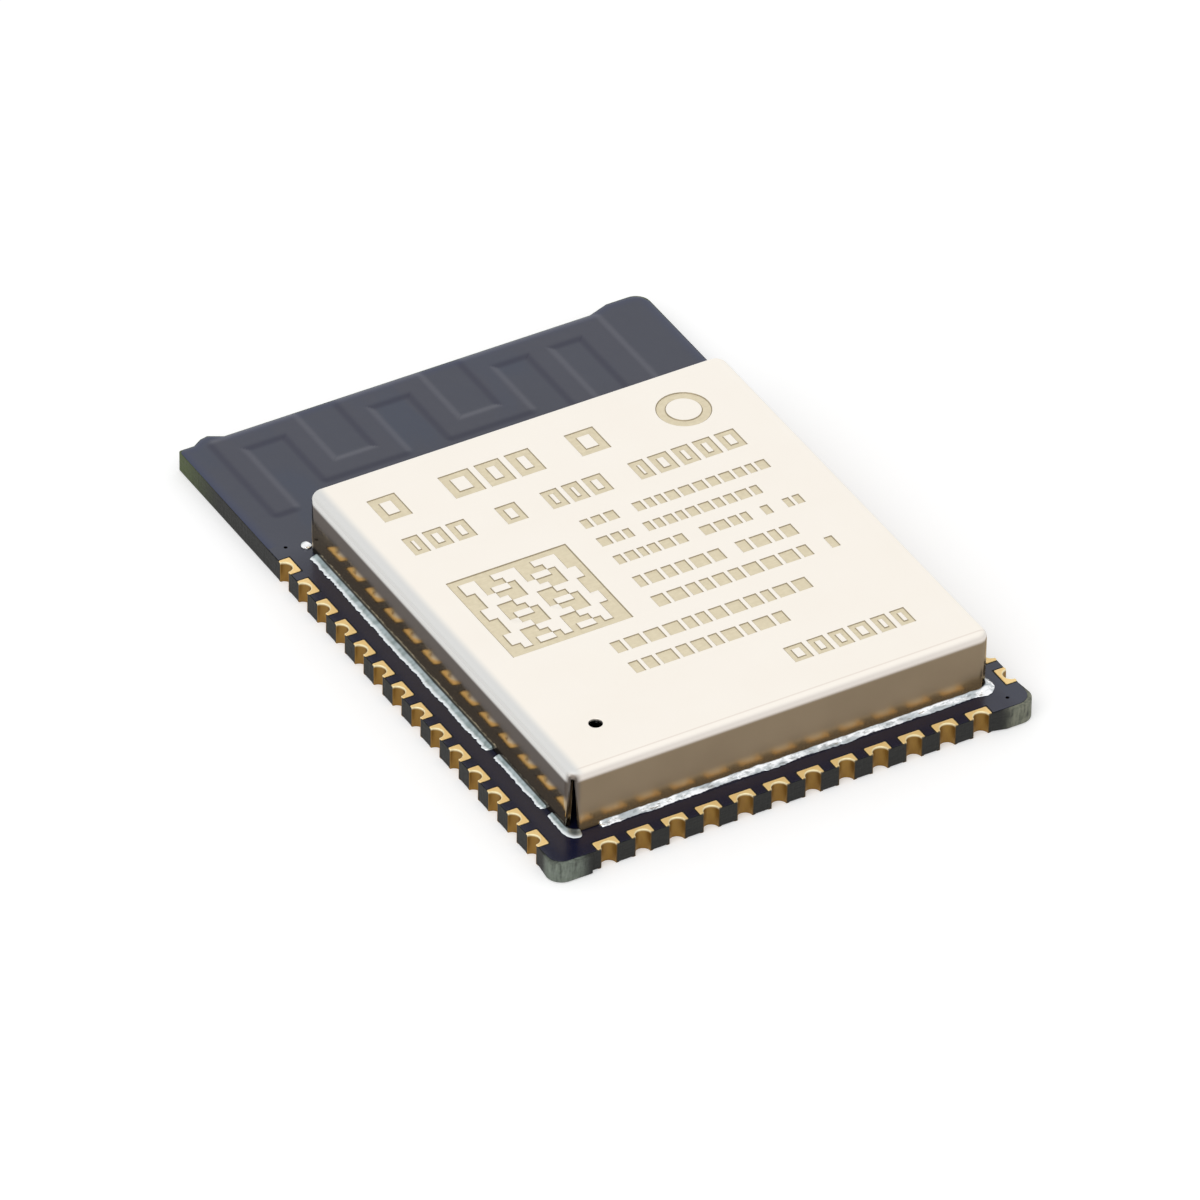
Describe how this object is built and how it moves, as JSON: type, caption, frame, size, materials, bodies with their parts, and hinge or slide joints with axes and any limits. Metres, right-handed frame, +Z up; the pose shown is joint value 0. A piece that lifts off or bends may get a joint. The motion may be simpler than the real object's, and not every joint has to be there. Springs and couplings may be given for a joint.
{
  "type": "wifi module",
  "caption": "Flat radio board with half-hole solder contacts on three edges, a printed meander antenna at one end and a soldered metal shield can over its parts.",
  "frame": {"origin": "middle of the board's underside, on the plane of its lower contact lands", "axes": "+Z up out of the board to the shield can, +Y along the board to the antenna end, +X across the board to the right seen from above"},
  "size_m": [0.0182, 0.0258, 0.0031],
  "materials": {
    "capacitor_ceramic": "fired tan ceramic",
    "coil_ceramic": "pale ceramic",
    "copper": "bare copper under mask or solder",
    "crystal_ceramic": "fired ceramic",
    "crystal_metal": "plated metal lid, satin",
    "gold": "gold plating over nickel and copper, smooth",
    "laminate": "glass-fibre and epoxy laminate, dark cut edge",
    "moulding": "black epoxy moulding",
    "resistor_coat": "black glaze on ceramic",
    "sheet_metal": "bright rolled nickel silver sheet",
    "solder": "reflowed solder, bright and uneven",
    "solder_mask": "dark navy solder mask, semi-gloss",
    "tinned_lead": "tin plating, satin"
  },
  "bodies": {
    "root": {"antenna_trace": "copper", "board_core": "laminate", "bottom_mask": "solder_mask", "cap_1_body": "capacitor_ceramic", "cap_1_ends": "tinned_lead", "cap_2_body": "capacitor_ceramic", "cap_2_ends": "tinned_lead", "cap_3_body": "capacitor_ceramic", "cap_3_ends": "tinned_lead", "cap_4_body": "capacitor_ceramic", "cap_4_ends": "tinned_lead", "cap_5_body": "capacitor_ceramic", "cap_5_ends": "tinned_lead", "cap_6_body": "capacitor_ceramic", "cap_6_ends": "tinned_lead", "cap_7_body": "capacitor_ceramic", "cap_7_ends": "tinned_lead", "cap_8_body": "capacitor_ceramic", "cap_8_ends": "tinned_lead", "coil_1_body": "coil_ceramic", "coil_1_ends": "tinned_lead", "coil_2_body": "coil_ceramic", "coil_2_ends": "tinned_lead", "crystal_base": "crystal_ceramic", "crystal_contacts": "gold", "crystal_lid": "crystal_metal", "front_contacts": "gold", "ground_pad": "gold", "inner_lands": "copper", "left_contacts": "gold", "memory_body": "moulding", "memory_leads": "tinned_lead", "plated_vias": "copper", "processor_body": "moulding", "processor_leads": "tinned_lead", "resistor_1_body": "resistor_coat", "resistor_1_ends": "tinned_lead", "resistor_2_body": "resistor_coat", "resistor_2_ends": "tinned_lead", "resistor_3_body": "resistor_coat", "resistor_3_ends": "tinned_lead", "right_contacts": "gold", "shield_can": "sheet_metal", "shield_land": "copper", "solder_dot": "solder", "solder_front": "solder", "solder_left_corner": "solder", "solder_left_middle": "solder", "solder_left_rear": "solder", "solder_rear": "solder", "solder_right_middle": "solder", "solder_right_rear": "solder", "top_mask": "solder_mask"}
  },
  "joints": []
}
